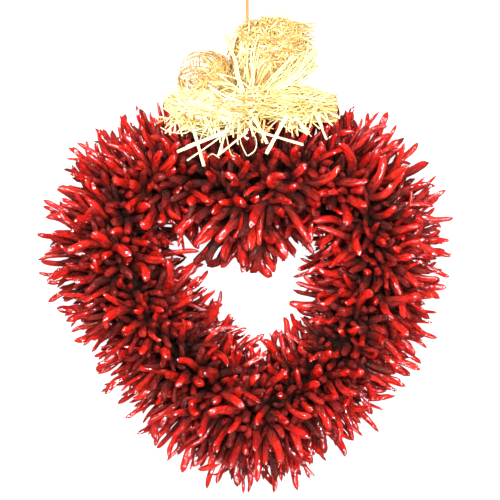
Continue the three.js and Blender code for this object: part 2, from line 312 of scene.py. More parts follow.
def raffia_material():
    """Dry raffia: straw strips with fine fibres along them."""
    made = NodeMaterial("raffia")
    fibres = made.noise(made.attribute("skin", "Vector"), 1.6, detail=3, roughness=0.7)
    level = made.combine("ADD", made.attribute("tint"),
                         made.remap(fibres, 0.3, 0.7, -0.12, 0.12))
    made.shade({
        "Base Color": made.ramp(level, [(0.0, (0.44, 0.19, 0.045)), (0.35, (0.62, 0.38, 0.11)),
                                        (0.7, (0.70, 0.57, 0.22)), (1.0, (0.80, 0.74, 0.42))]),
        "Normal": made.bump(fibres, 0.35, 0.0004),
        "Roughness": made.remap(fibres, 0, 1, 0.5, 0.75),
        "Specular IOR Level": 0.3})
    return made.material


def stem_and_shade_material():
    """Dry stems and their binding: dull brown with darker blotches, so dark that it is partly
    painted shade for the gaps between the pods.
    """
    made = NodeMaterial("dry_stem_and_painted_shade")
    blotches = made.noise(made.object_place(), 160, detail=4)
    made.shade({
        "Base Color": made.ramp(blotches, [(0.3, (0.010, 0.004, 0.003)),
                                           (0.5, (0.020, 0.008, 0.006)),
                                           (0.75, (0.036, 0.014, 0.010))]),
        "Normal": made.bump(blotches, 0.5, 0.001),
        "Roughness": made.remap(blotches, 0, 1, 0.7, 0.95),
        "Specular IOR Level": 0.0})
    return made.material


def floor_material():
    """A pale backdrop that stays near white wherever light falls on it."""
    made = NodeMaterial("pale_floor")
    grain = made.noise(made.object_place(), 40)
    made.shade({
        "Base Color": made.ramp(grain, [(0.3, (0.30, 0.30, 0.30)), (0.7, (0.34, 0.34, 0.34))]),
        "Roughness": 0.9,
        "Emission Color": (1, 1, 1, 1),
        "Emission Strength": 0.9})
    return made.material


CHILLI = chilli_material("dried_chilli", 1.0, 1.0)
# the pods beneath: the same skin at half brightness as painted shade, with little gloss
SHADED_CHILLI = chilli_material("dried_chilli_painted_shade", 0.06, 0.5)
RAFFIA, STEM_AND_PAINTED_SHADE = raffia_material(), stem_and_shade_material()


# ---- camera, floor and the light ----

VIEW_CENTRE = (3.55, 0.89)
VIEW_WIDTH = 443.5  # what the picture spans at VIEW_LEVEL
VIEW_LEVEL = 32
CAMERA_HEIGHT = 1850
SENSOR = 36
FLOOR_HALF = 4.0  # in metres
FLOOR_GAP = 0.3  # below the lowest point of anything
# The lamps: their places in metres and their powers, and what they share
LAMPS = [((-0.75, 0.35, 1.30), 15), ((0.80, 0.15, 1.30), 12),
         ((-0.20, 0.90, 1.25), 11), ((0.30, -0.75, 1.30), 9), ((0.15, 0.30, 1.70), 6),
         ((-0.45, -0.35, 1.50), 6), ((0.45, 0.55, 1.40), 6), ((-0.60, 0.80, 1.20), 6),
         ((0.65, -0.35, 1.30), 6)]
LAMP_SIZE = 0.26
LAMP_AIM = (0, 0, 0.03)
WORLD_LIGHT = 0.13


def make_camera():
    data = bpy.data.cameras.new("camera")
    data.sensor_width = SENSOR
    data.lens = SENSOR * (CAMERA_HEIGHT - VIEW_LEVEL) / VIEW_WIDTH
    camera = new_object("camera", data)
    camera.location = (VIEW_CENTRE[0] * MM, VIEW_CENTRE[1] * MM, CAMERA_HEIGHT * MM)
    bpy.context.scene.camera = camera


def make_lamp(place, power):
    data = bpy.data.lights.new("soft_box", "AREA")
    data.shape, data.size, data.energy = "DISK", LAMP_SIZE, power
    lamp = new_object("soft_box", data)
    lamp.location = place
    lamp.rotation_mode = "QUATERNION"
    way = Vector(np.array(LAMP_AIM) - np.array(place))
    lamp.rotation_quaternion = way.to_track_quat("-Z", "Y")


def make_floor():
    mesh = bpy.data.meshes.new("floor")
    far = FLOOR_HALF
    mesh.from_pydata([(-far, -far, 0), (far, -far, 0), (far, far, 0), (-far, far, 0)],
                     [], [(0, 1, 2, 3)])
    mesh.materials.append(floor_material())
    floor = new_object("floor", mesh)
    floor.location.z = -FLOOR_GAP * MM
    floor.visible_glossy = False


def make_light():
    world = bpy.data.worlds.new("studio")
    bpy.context.scene.world = world
    world.use_nodes = True
    background = world.node_tree.nodes["Background"]
    background.inputs["Color"].default_value = (1, 1, 1, 1)
    background.inputs["Strength"].default_value = WORLD_LIGHT
    for place, power in LAMPS:
        make_lamp(place, power)
    settings = bpy.context.scene.view_settings
    settings.view_transform = "Standard"
    settings.look = "None"
    settings.exposure = 0.0


make_camera()
make_floor()
make_light()


# ---- the hanging string ----

STRING_DIAMETER = 3
STRING_ROUTE = [  # out of the top of the bow, down to the floor and along it, in metres
    (0.0010, 0.2026, 0.0300), (0.0010, 0.2052, 0.0302), (0.0010, 0.2078, 0.0294),
    (0.0010, 0.2103, 0.0276), (0.0010, 0.2126, 0.0250), (0.0010, 0.2149, 0.0218),
    (0.0010, 0.2172, 0.0182), (0.0010, 0.2197, 0.0145), (0.0010, 0.2225, 0.0109),
    (0.0010, 0.2257, 0.0076), (0.0010, 0.2294, 0.0049), (0.0010, 0.2336, 0.0029),
    (0.0011, 0.2383, 0.0019), (0.0012, 0.2433, 0.0016), (0.0013, 0.2485, 0.0016),
    (0.0014, 0.2537, 0.0016),
]
STRING_STEPS = 90
STRING_SIDES = 16
STRING_TWISTS = 4
STRANDS, GROOVE_DEPTH = 3, 0.09  # of the string, and how deep the grooves between them are
# The knot on the string's far end and the loop beyond it
KNOT_RADIUS = 3
KNOT_GAP = 0.35
WRAP_RADIUS, WRAP_HEIGHT, WRAP_STRAND = 2.0, 1.7, 1.15
WRAP_TILTS = (0.0, 1.1, 2.2)
EYE_RADIUS, EYE_STRAND = 6, 1.35
EYE_OVERLAP = 1.2  # what is left between the loop and the knot's middle, and the loop's rise
EYE_LEVEL = 1.5
EYE_RISE_WIDTH = 2.5
EYE_OVAL = 1.02


def strip_frames(path, facing):
    """The two directions across a path, the first one nearest to facing."""
    along = unit(np.gradient(path, axis=0))
    first = across_from(np.broadcast_to(facing, path.shape), along)
    return first, np.cross(along, first)


def tube(path, reach, turn, first, second):
    """Rings about a path: at every turn, a point at its reach from the path's middle."""
    return (path[:, None] + reach[..., None] * np.cos(turn)[..., None] * first[:, None]
            + reach[..., None] * np.sin(turn)[..., None] * second[:, None])


def string_rings(path, radius, twists):
    """Strips of raffia twisted into one string: a round bundle with turning ridges."""
    first, second = strip_frames(path, np.array([1.0, 0, 0]))
    turn = circle(STRING_SIDES)[None, :]
    along = np.linspace(0, twists * 2 * math.pi, len(path))[:, None]
    reach = radius * (1 - GROOVE_DEPTH * (0.5 + 0.5 * np.cos(STRANDS * (turn - along))) ** 2)
    return tube(path, reach, turn, first, second)


def make_string_end(end):
    """The knot on the string's end, laid on the floor, and the loop that it holds."""
    eye = Heap()
    knot = end + np.array([0, KNOT_GAP + KNOT_RADIUS, KNOT_RADIUS - end[2]])
    turn = np.linspace(0, 2 * math.pi, 40)
    ring = knot + np.array([0, EYE_RADIUS + EYE_OVERLAP, 0]) + np.stack(
        [EYE_RADIUS * np.sin(turn), -EYE_RADIUS * np.cos(turn) * EYE_OVAL, 0 * turn], axis=1)
    rise = np.exp(-((ring[:, 1] - knot[1]) / EYE_RISE_WIDTH) ** 2)
    ring[:, 2] = EYE_LEVEL + EYE_OVERLAP * rise
    eye.add(string_rings(ring, EYE_STRAND, 3), 0.62)
    loop = np.linspace(0, 2 * math.pi, 22)
    for tilt in WRAP_TILTS:
        wrap = np.stack([WRAP_RADIUS * np.cos(loop) * math.cos(tilt),
                         WRAP_RADIUS * np.cos(loop) * math.sin(tilt),
                         WRAP_HEIGHT * np.sin(loop)], axis=1)
        eye.add(string_rings(wrap + knot, WRAP_STRAND, 1), 0.55)
    return eye.build("string_loop_end", RAFFIA, "string_eye", "string")


def make_string():
    path = resampled(np.array(STRING_ROUTE) / MM, STRING_STEPS)
    heap = Heap()
    heap.add(string_rings(path, STRING_DIAMETER / 2, STRING_TWISTS), 0.15)
    string = heap.build("string_cord", RAFFIA, "hanging_string", "string")
    eye = make_string_end(path[-1])


make_string()


# ---- the heart line ----

LINE_HEIGHT = 24
# The control points of two Bezier curves each, from the notch to the low tip
RIGHT_HALF = [[(-10, 26), (22, 96), (115, 60), (115, 0)],
              [(115, 0), (117, -52), (72, -128), (0, -142)]]
LEFT_HALF = [[(10, 26), (-22, 96), (-115, 60), (-115, 0)],
             [(-115, 0), (-112, -30), (-52, -118), (0, -142)]]
LINE_STEPS = 400
CURVE_POINTS = 600  # of each curve, before they are spaced evenly


def half_line(curves):
    """Points along one half of the heart line, from the notch to the low tip."""
    t = np.linspace(0, 1, CURVE_POINTS)[:, None]
    points = []
    for a, b, c, d in np.array(curves, float):
        points.append((1 - t) ** 3 * a + 3 * (1 - t) ** 2 * t * b
                      + 3 * (1 - t) * t ** 2 * c + t ** 3 * d)
    line = evenly(np.vstack([points[0][:-1], points[1]]), LINE_STEPS)
    return np.column_stack([line, np.full(LINE_STEPS, float(LINE_HEIGHT))])


HALVES = {1: half_line(RIGHT_HALF), -1: half_line(LEFT_HALF)}
WHOLE_LINE = np.vstack(list(HALVES.values()))
UP = np.array([0.0, 0, 1])


# ---- the chillies ----

ROOT = 13  # distance from the heart line to where a pod starts
# How far tips reach from the line: outwards, into the hole and to the front
SIDE_REACH = 68
INNER_REACH = 60
FRONT_REACH = 50
REACH_SPREAD = 7
LEAST_REACH = 30
LOWEST_ANGLE = -18  # degrees from the plane of the heart
# How unevenly pods point: at the sides, and what the front ones have more
LEAN_SPREAD = (0.22, 0.22)
STRAY_SPREAD = (0.13, 0.46)
CROSSING_ORDER = 0.5  # how much less the front pods of the notch stray
# The notch's inner pods fan out and are shorter
NOTCH_FAN = 1.1
NOTCH_FAN_SHARE = 0.13
NOTCH_SHORTER = 0.36
# The front pods of the notch spread from one place, most of them down towards the hole
NOTCH_CENTRE = np.array([19.0, 73.0, 0])
NOTCH_SPLAY = (1.3, 3.6)  # the least and the most that they turn away from it
NOTCH_FLOOR = (-19, 0.42, 5)  # the lowest level of their tips, its rise to the sides, its spread
NOTCH_HALF_WIDTH = 50
NOTCH_LIFT = 22  # they start up to this much above the heart line
NOTCH_WIDER = 0.22  # how much further apart their tips are
NOTCH_LOW_Y = 10
NOTCH_FULL_Y = 30
# The pods that show and those beneath: their share of the full reach and the gaps between
# their tips, both at the sides and at the front, and the least distance of a tip from the line
OUTER = dict(shortening=(1.0, 1.0), spacing=(11.4, 19.5), least_out=44, tries=22000)
UNDER = dict(shortening=(0.86, 0.72), spacing=(11.2, 11.5), least_out=32, tries=13000)
FACING_REACH = 0.72  # of pods that face each other across a lobe of the heart
BUNCHES = 24  # in each half: the pods of a bunch lean alike and spread a little
BUNCH_SPLAY = 0.95
BUNCH_LEAN = normal(0, 0.15, (2, BUNCHES))
BUNCH_REACH = normal(0, 2.6, (2, BUNCHES))
# Bearings at which the rim and the edge of the hole reach further or less far
REACH_BY_BEARING = [(128, 3), (50, 3), (5, -6), (-30, -7), (-155, -7), (180, -6), (-65, 1)]
INNER_BY_BEARING = [(165, 7), (3, 12), (-42, -8)]
BEARING_SPREAD = 22
# The highest and the lowest level of any pod, and the lowest at which a tip is wanted
TOP_LEVEL = 79.2
FLOOR_LEVEL = 0.2
LOWEST_TIP = 2.5
BOW_CENTRE = np.array([3.0, 118.0])
BOW_HALF_AXES = np.array([80.0, 27.0])
UNDER_BOW = 55  # the level that tips under the bow keep below
BOW_PLAY = 2  # how much higher the rest of those pods may be pushed
LEAST_SLOPE = 0.2  # of a pod that is shortened to stay at a level
FROM_CROSSING, FROM_INNER = 0.25, 0.3  # from where on pods are of the notch or the hole


def distance_to_line(points):
    gaps = np.linalg.norm(points[:, None] - WHOLE_LINE[None, ::6], axis=2)
    return gaps.min(axis=1)


def in_bow(places):
    return np.sum(((places[:, :2] - BOW_CENTRE) / BOW_HALF_AXES) ** 2, axis=1) < 1


def side_to_front(pair, front):
    """From the first value for pods at the sides to the second for those at the front."""
    return pair[0] + (pair[1] - pair[0]) * front


def by_bearing(bearing, places):
    """The differences in reach, each spread about its bearing."""
    return sum(extra * np.exp(-(((bearing - middle + 180) % 360 - 180) / BEARING_SPREAD) ** 2)
               for middle, extra in places)


def draw_directions(tries):
    """Random places on the heart line, and how a pod would point there."""
    side = chance.choice([-1, 1], tries)
    share = uniform(0, 1, tries)
    angle = np.radians(uniform(LOWEST_ANGLE, 180 - LOWEST_ANGLE, tries))
    index = np.clip((share * (LINE_STEPS - 1)).astype(int), 1, LINE_STEPS - 2)
    lines = np.stack([HALVES[-1], HALVES[1]])
    which = (side > 0).astype(int)
    point = lines[which, index]
    along = unit(lines[which, index + 1] - lines[which, index - 1])
    outward = np.stack([-side * along[:, 1], side * along[:, 0], 0 * share], axis=1)
    front, inner = np.maximum(0, np.sin(angle)), np.maximum(0, -np.cos(angle))
    at_notch = inner * np.maximum(0, 1 - share / NOTCH_FAN_SHARE)
    at_crossing = np.exp(-(point[:, 0] / NOTCH_HALF_WIDTH) ** 2) * smooth(
        (point[:, 1] - NOTCH_LOW_Y) / (NOTCH_FULL_Y - NOTCH_LOW_Y))

    lean = normal(0, LEAN_SPREAD[0] + LEAN_SPREAD[1] * front, tries)
    bunch = share * BUNCHES
    lean += BUNCH_LEAN[which, bunch.astype(int)] + BUNCH_SPLAY * (bunch % 1 - 0.5)
    lean -= NOTCH_FAN * at_notch
    strays = STRAY_SPREAD[0] + STRAY_SPREAD[1] * front * (1 - CROSSING_ORDER * at_crossing)
    stray = normal(0, 1, (tries, 3)) * strays[:, None]
    away = unit((point - NOTCH_CENTRE) * [1, 1, 0])
    splay = uniform(*NOTCH_SPLAY, tries) * at_crossing * front
    scrambled = share * 997 % 1  # even from 0 to 1, and not tied to the place on the line
    point = point + UP * (NOTCH_LIFT * scrambled * at_crossing * front)[:, None]
    way = unit(outward * np.cos(angle)[:, None] + UP * np.sin(angle)[:, None]
               + along * lean[:, None] + stray + splay[:, None] * away)
    return SimpleNamespace(
        point=point, way=way, angle=angle, front=front, inner=inner, at_notch=at_notch,
        at_crossing=at_crossing, bunch_reach=BUNCH_REACH[which, bunch.astype(int)],
        bearing=np.degrees(np.arctan2(outward[:, 1], outward[:, 0])))


def draw_reach(tried, shortening):
    """How far from the heart line each pod's tip is, before the bow is heeded."""
    count, inner, front = len(tried.point), tried.inner, tried.front
    sideways = np.where(np.cos(tried.angle) > 0, SIDE_REACH, INNER_REACH)
    reach = sideways + (FRONT_REACH - sideways) * np.maximum(0, tried.way[:, 2]) ** 2
    reach = reach + by_bearing(tried.bearing, REACH_BY_BEARING) * (1 - inner) * (1 - front)
    reach += by_bearing(tried.bearing, INNER_BY_BEARING) * inner
    reach = reach * (1 - NOTCH_SHORTER * tried.at_notch) + tried.bunch_reach
    reach *= side_to_front(shortening, front)
    reach += uniform(-1, 1, count) * REACH_SPREAD
    floor, slope, spread = NOTCH_FLOOR
    lowest = floor + slope * np.abs(tried.point[:, 0]) + normal(0, spread, count)
    to_lowest = (tried.point[:, 1] - lowest) / np.maximum(-tried.way[:, 1], LEAST_SLOPE)
    notch_pods = tried.at_crossing * front > FROM_CROSSING
    return np.where(notch_pods, np.minimum(reach, to_lowest), reach)


def spread_out(tips, fits, gaps):
    """Which pods to keep: those that fit and whose tips keep their gaps to earlier ones."""
    kept = []
    kept_tips = np.empty((0, 3))
    for i in np.flatnonzero(fits):
        if kept and np.min(np.sum((kept_tips - tips[i]) ** 2, axis=1)) < gaps[i] ** 2:
            continue
        kept.append(i)
        kept_tips = np.vstack([kept_tips, tips[i]])
    return np.array(kept)


def scatter(shortening, spacing, least_out, tries):
    """Where pods stand: their roots and directions, tips spread evenly."""
    tried = draw_directions(tries)
    reach = draw_reach(tried, shortening)
    point, way = tried.point, tried.way
    tip = point + way * reach[:, None]
    too_high = in_bow(tip) & (tip[:, 2] > UNDER_BOW)
    to_bow = (UNDER_BOW - point[:, 2]) / np.maximum(way[:, 2], LEAST_SLOPE)
    reach = np.maximum(np.where(too_high, np.minimum(reach, to_bow), reach), LEAST_REACH)
    tip = point + way * reach[:, None]
    facing_pods = (tried.inner > FROM_INNER) & (distance_to_line(tip) < least_out)
    reach = np.where(facing_pods, FACING_REACH * reach, reach)
    tip = point + way * reach[:, None]
    fits = distance_to_line(tip) > np.where(facing_pods, FACING_REACH * least_out, least_out)
    fits = (fits | too_high) & (tip[:, 2] > LOWEST_TIP)
    wider = 1 + NOTCH_WIDER * tried.at_crossing * tried.front
    kept = spread_out(tip, fits, side_to_front(spacing, tried.front) * wider)
    return dict(root=(point + way * ROOT)[kept], way=way[kept], front=tried.front[kept],
                length=(reach - ROOT)[kept], at_crossing=tried.at_crossing[kept])


# The pods themselves
OUTER_DETAIL = (14, 22)  # sides and rings of a pod
UNDER_DETAIL = (7, 12)
WIDTH = (5.0, 8.3)
FRONT_WIDER = 1.9
CROSSING_WIDER = 2.8
BLUNTNESS = (0.1, 0.8)
FRONT_BLUNTER = 0.4
HOOKED_SHARE = 0.22
HOOKED_BEND = (0.9, 1.7)  # radians
TINT = (0.72, 0.17)  # its mean and spread
TINT_RANGE = (0.12, 0.98)
# painted shade: how much lower the tint of the pods beneath is
UNDER_PAINTED_SHADE = 0.3
PATH_STEPS = 9  # points a pod has while they are pushed apart
PUSHES = 45
PUSH = 0.42  # how much of an overlap one push takes away
LOOSENESS = 0.96  # of two pods' radii together: how near they may come
NEAR = 15.0  # pods this near are watched
WATCH_AGAIN = 9  # pushes until the near ones are looked for again
BLOCK = 600  # points that are looked at in one go
LARGEST_SWING = 20
DENTS = 5


def pod_paths(pods):
    """The middle line of every pod: an arc, most of its bend near the tip."""
    t = np.linspace(0, 1, PATH_STEPS)
    turn = pods["bend"][:, None] * (t ** 1.8 - 1 / 2.8)[None, :]
    steps = (np.cos(turn)[..., None] * pods["way"][:, None]
             + np.sin(turn)[..., None] * pods["bent_to"][:, None])
    length = pods["length"][:, None, None] / (PATH_STEPS - 1)
    path = np.cumsum(steps * length, axis=1) - steps[:, :1] * length
    return path + pods["root"][:, None]


def radius_along(t, blunt):
    """A pod's radius from its shoulder to its tip, as a share of its widest."""
    shoulder = 0.6 + 0.4 * smooth(t / 0.16)
    taper = 1 - (0.80 - 0.60 * blunt) * np.clip((t - 0.2) / 0.8, 0, 1) ** 1.25
    end = 0.93 - 0.06 * blunt
    rounded = np.sqrt(np.clip(1 - np.clip((t - end) / (1 - end), 0, 1) ** 2, 0.012, 1))
    return shoulder * taper * rounded


def near_pairs(places, owner):
    """Every pair of points of two different pods that lie near each other."""
    first, second = [], []
    squares = np.sum(places ** 2, axis=1)
    for start in range(0, len(places), BLOCK):
        stop = min(start + BLOCK, len(places))
        gaps = squares[start:stop, None] + squares[None] - 2 * places[start:stop] @ places.T
        a, b = np.nonzero(gaps < NEAR ** 2)
        a += start
        keep = (a < b) & (owner[a] != owner[b])
        first.append(a[keep])
        second.append(b[keep])
    return np.concatenate(first), np.concatenate(second)


def push_apart(path, radius):
    """Swings the pods about their roots until those that touch stand clear of each other."""
    pods, steps = path.shape[:2]
    t = np.linspace(0, 1, steps)
    used = np.arange(3, steps)
    owner = np.repeat(np.arange(pods), len(used))
    weight = np.tile(t[used], pods)
    size = radius[:, used].ravel()
    swing = np.zeros((pods, 3))
    rest = path[:, used].reshape(-1, 3)
    for push in range(PUSHES):
        places = rest + weight[:, None] * swing[owner]
        if push % WATCH_AGAIN == 0:
            a, b = near_pairs(places, owner)
        gap = places[a] - places[b]
        distance = np.linalg.norm(gap, axis=1)
        deep = np.maximum(0, LOOSENESS * (size[a] + size[b]) - distance)
        move = gap / np.maximum(distance, 0.05)[:, None] * (0.5 * deep)[:, None]
        total = np.zeros_like(swing)
        for ends, sign in ((a, 1), (b, -1)):
            np.add.at(total, owner[ends], sign * move * weight[ends][:, None])
        low = np.maximum(0, FLOOR_LEVEL + size - places[:, 2])
        cap = np.where(in_bow(places), UNDER_BOW + BOW_PLAY, TOP_LEVEL)
        high = np.maximum(0, places[:, 2] + size - cap)
        np.add.at(total, owner, (weight * (low - high))[:, None] * UP)
        swing += PUSH * total
        lengths = np.linalg.norm(swing, axis=1, keepdims=True)
        swing *= np.minimum(1, LARGEST_SWING / np.maximum(lengths, 1e-6))
    return path + t[None, :, None] * swing[:, None]


def smooth_path(path):
    inner = 0.25 * path[:-2] + 0.5 * path[1:-1] + 0.25 * path[2:]
    return np.vstack([path[:1], inner, path[-1:]])


def withered(t):
    """A small sideways wave that grows towards a pod's tip."""
    wave = np.sin(t * uniform(8, 15) + uniform(0, 2 * math.pi))
    return (uniform(0.2, 1.3) * t ** 2 * wave)[:, None]


def any_turn():
    return uniform(0, 6.3)


def turned_from(turn, angle):
    """How far a turn is from an angle, the short way round."""
    return np.abs((turn - angle + math.pi) % (2 * math.pi) - math.pi)


def dried_skin(t, turn):
    """What a pod's radius is multiplied by, ring by ring: flattened, creased and dented."""
    skin = np.ones((len(t), turn.size))
    skin += uniform(0.06, 0.24) * np.cos(2 * (turn - any_turn() - 0.8 * t))
    skin += uniform(0.03, 0.09) * np.cos(3 * turn + any_turn() + 3 * t)
    skin += (0.03 + 0.05 * t) * np.cos(4 * turn + any_turn() - 5 * t)
    skin += 0.045 * np.sin(t * uniform(14, 22) + any_turn())
    crease = any_turn() + 0.5 * np.sin(t * uniform(3, 7))
    skin -= uniform(0.08, 0.24) * np.exp(-(turned_from(turn, crease) / 0.5) ** 2)
    for _ in range(DENTS):
        angle, place = any_turn(), uniform(0.1, 0.95)
        skin -= uniform(0.1, 0.26) * np.exp(
            -(turned_from(turn, angle) / 0.75) ** 2 - ((t - place) / 0.09) ** 2)
    return skin


def pod_rings(path, side_way, width, blunt, detail):
    """One pod's skin, bent along its path and never below the floor."""
    sides, steps = detail
    t = np.linspace(0, 1, steps)
    run = np.linspace(0, 1, PATH_STEPS)
    middle = smooth_path(np.stack([np.interp(t, run, values) for values in path.T], axis=1))
    first, second = strip_frames(middle, side_way)
    middle += withered(t) * first + withered(t) * second
    turn = circle(sides)[None, :]
    t = t[:, None]
    reach = width / 2 * radius_along(t, blunt) * dried_skin(t, turn)
    rings = tube(middle, reach, turn, first, second)
    rings[..., 2] = np.maximum(rings[..., 2], FLOOR_LEVEL)
    return rings


def make_pods():
    outer, inner = scatter(**OUTER), scatter(**UNDER)
    pods = {k: np.concatenate([outer[k], inner[k]]) for k in outer}
    count = len(pods["length"])
    under = np.arange(count) >= len(outer["length"])
    front, at_crossing = pods["front"], pods["at_crossing"]
    pods["bend"] = np.abs(normal(0, 0.5 + 0.4 * front, count))
    hooked = uniform(0, 1, count) < HOOKED_SHARE
    pods["bend"] = np.where(hooked, uniform(*HOOKED_BEND, count), pods["bend"])
    pods["bent_to"] = across_from(normal(0, 1, (count, 3)), pods["way"])
    width = (uniform(*WIDTH, count) + FRONT_WIDER * front
             + CROSSING_WIDER * at_crossing * front)
    blunt = uniform(*BLUNTNESS, count) + FRONT_BLUNTER * front * (1 - at_crossing)
    blunt = np.clip(blunt, 0, 1)
    path = pod_paths(pods)
    t = np.linspace(0, 1, PATH_STEPS)
    radius = width[:, None] / 2 * np.stack([radius_along(t, b) for b in blunt])
    path = push_apart(path, radius)
    # the pods beneath get painted shade through a lower tint
    tint = np.clip(normal(*TINT, count) - UNDER_PAINTED_SHADE * under, *TINT_RANGE)
    order = np.flatnonzero(~under)[np.argsort(tint[~under])]
    shown = ["chillies_maroon", "chillies_crimson", "chillies_red", "chillies_scarlet"]
    groups = [(name, members, CHILLI, OUTER_DETAIL)
              for name, members in zip(shown, np.array_split(order, len(shown)))]
    groups.append(("chillies_beneath", np.flatnonzero(under), SHADED_CHILLI, UNDER_DETAIL))
    for name, members, material, detail in groups:
        heap = Heap()
        for i in members:
            facing = np.cross(pods["way"][i], pods["bent_to"][i])
            heap.add(pod_rings(path[i], facing, width[i], blunt[i], detail), tint[i])
        heap.build(name, material, "chillies", "chilli")


make_pods()


# ---- the bound stems, inside it ----

CORE_RADIUS = 17
CORE_SIDES = 24
CORE_RINGS = 130
CORE_OVERLAP = 12  # how far each half runs past the low tip


def make_core():
    """The stems bound round the heart: a lumpy ridged bundle that shows only in the gaps, its
    near-black colour partly painted shade for those gaps.
    """
    heap = Heap()
    turn = circle(CORE_SIDES)[None, :]
    for line in HALVES.values():
        line = np.vstack([line[::8], line[-1] + CORE_OVERLAP * unit(line[-1] - line[-9])])
        path = resampled(line, CORE_RINGS)
        first, second = strip_frames(path, UP)
        along = np.linspace(0, 1, CORE_RINGS)[:, None]
        reach = CORE_RADIUS * (0.94 + 0.06 * np.cos(9 * turn + 60 * along)
                               + 0.05 * np.cos(4 * turn - 31 * along)
                               + 0.04 * np.sin(150 * along + 2 * turn))
        heap.add(tube(path, reach, turn, first, second), 0.3)
    heap.build("bound_stems", STEM_AND_PAINTED_SHADE, "chillies", "chilli")


make_core()


# ---- the raffia bow ----

KNOT = np.array([1.5, 129.5, 60.0])
THICKNESS = 0.35
# Balls of looped strands: centre and half axes
PUFF = (np.array([24.5, 173.5, 38.0]), np.array([28.5, 31.0, 28.0]))
PUFF_EDGE = (np.array([28.0, 171.0, 38.0]), np.array([32.0, 31.0, 20.0]))
PUFF_SIDE = (np.array([1.5, 168.0, 36.0]), np.array([16.0, 31.0, 22.0]))
CAGE = (np.array([-36.0, 153.0, 34.0]), np.array([25.0, 25.0, 20.0]))
BOWL = (np.array([-31.0, 120.0, 60.0]), np.array([38.0, 19.0, 12.5]))
BOWL_BEND_X = -25  # left of here the bowl turns up, by this times the distance squared
BOWL_TURN_UP = 0.005
# How many strands of each kind there are
PUFF_BALLS = ((PUFF, 190, 250), (PUFF_SIDE, 80, 80))  # their loops and scraps
PUFF_TOP, PUFF_RIGHT, PUFF_STANDING, PUFF_RIM = 90, 45, 50, 70
CAGE_LOOPS, CAGE_SCRAPS = 36, 60
BOWL_LOOPS, BOWL_ARCS, BOWL_STRANDS, BOWL_RAYS, BOWL_SCRAPS = 30, 30, 80, 30, 280
KNOT_SCRAPS, KNOT_TIES = 70, 5
FAN_STRANDS, FAN_SCRAPS = 150, 120
HANGING_SCRAPS = 90
# Ranges of X, Y and Z within which a strand starts, bends and ends
TOP_ZONES = [((-9, 12), (180, 203)), ((22, 38), (184, 206)), ((46, 62), (166, 202))]
RIGHT_START = ((8, 26), (3, 12), (4, 9))  # from the knot
RIGHT_ZONES = [((36, 50), (148, 160), (64, 70)), ((50, 64), (156, 180), (54, 62))]
BOWL_ZONES = [((-64, -18), (128, 152), (44, 62)), ((-58, -20), (104, 120), (60, 70))]
PAINTED_LIGHT_CORNER = (38, 165)  # right of and below it the puff's scraps are paler: painted light where the puff's underside lies in shade
PAINTED_LIGHT_FADE = 16
FAN_Y = 129  # the fan's middle line
FAN_HALF_WIDTH = 14


def mixed_tint(pale_share):
    """A strand's tint: most are straw, a share of them bleached."""
    return uniform(0.75, 1.0) if uniform() < pale_share else uniform(0.0, 0.42)


def place_in(zone):
    """A random place within ranges of its coordinates."""
    return np.array([uniform(*span) for span in zone])


def flat(angle, length, squeeze=1.0):
    """A vector in the heart's plane; squeeze shortens it along Y."""
    return length * np.array([math.cos(angle), squeeze * math.sin(angle), 0])


def strip_rings(path, facing, width, tilt=0.0, twist=0.0):
    """A flat strip of raffia along a path; tilt and twist turn it about its own length."""
    first, second = strip_frames(path, facing)
    steps = len(path)
    angle = (tilt + twist * np.linspace(0, 1, steps))[:, None]
    up = first * np.cos(angle) + second * np.sin(angle)
    out = second * np.cos(angle) - first * np.sin(angle)
    half = (width / 2 * (1 + 0.12 * np.sin(np.linspace(0, 9, steps))))[:, None]
    corners = [half * out + THICKNESS / 2 * up, -half * out + THICKNESS / 2 * up,
               -half * out - THICKNESS / 2 * up, half * out - THICKNESS / 2 * up]
    return np.stack([path + corner for corner in corners], axis=1)[:, ::-1]


def lay_strip(heap, path, facing, widths, tint, tilt=None, twist=None, shade=0.0):
    """Adds a strip of random turn to a heap, its width a range or a number.

    Its tint is given as a range or as the share of bleached strips; shade, a painted shade, is
    added to it.
    """
    width = uniform(*widths) if isinstance(widths, tuple) else widths
    turns = [normal(0, spread) for spread in (tilt, twist) if spread]
    rings = strip_rings(path, facing, width, *turns)
    base = uniform(*tint) if isinstance(tint, tuple) else mixed_tint(tint)
    heap.add(rings, base + shade)


def ball_loop(ball, steps, widest):
    """A loop that leaves the knot, runs round the outside of a ball and comes back."""
    centre, axes = ball
    toward = unit((KNOT - centre) / axes)
    side = across_from(normal(0, 1, 3), toward)
    spread = math.radians(uniform(*widest))
    axis = unit(math.cos(spread) * toward + math.sin(spread) * side)
    middle = axis * (toward @ axis)
    start = toward - middle
    second = np.cross(axis, start)
    a = np.linspace(0.1, 2 * math.pi - 0.1, steps)[:, None]
    on_ball = middle + start * np.cos(a) + second * np.sin(a)
    shell = uniform(0.84, 1.02)
    shell = shell + 0.03 * np.sin(a * chance.integers(2, 6) + uniform(0, 6))
    path = centre + axes * on_ball * shell
    back = np.minimum(np.arange(steps), np.arange(steps)[::-1]) / (0.15 * steps)
    origin = KNOT + normal(0, 2.2, 3) * np.array([1, 1, 0.7])
    path = origin + (path - origin) * smooth(back)[:, None]
    return path + wander(steps, 0.9), unit(on_ball / axes)


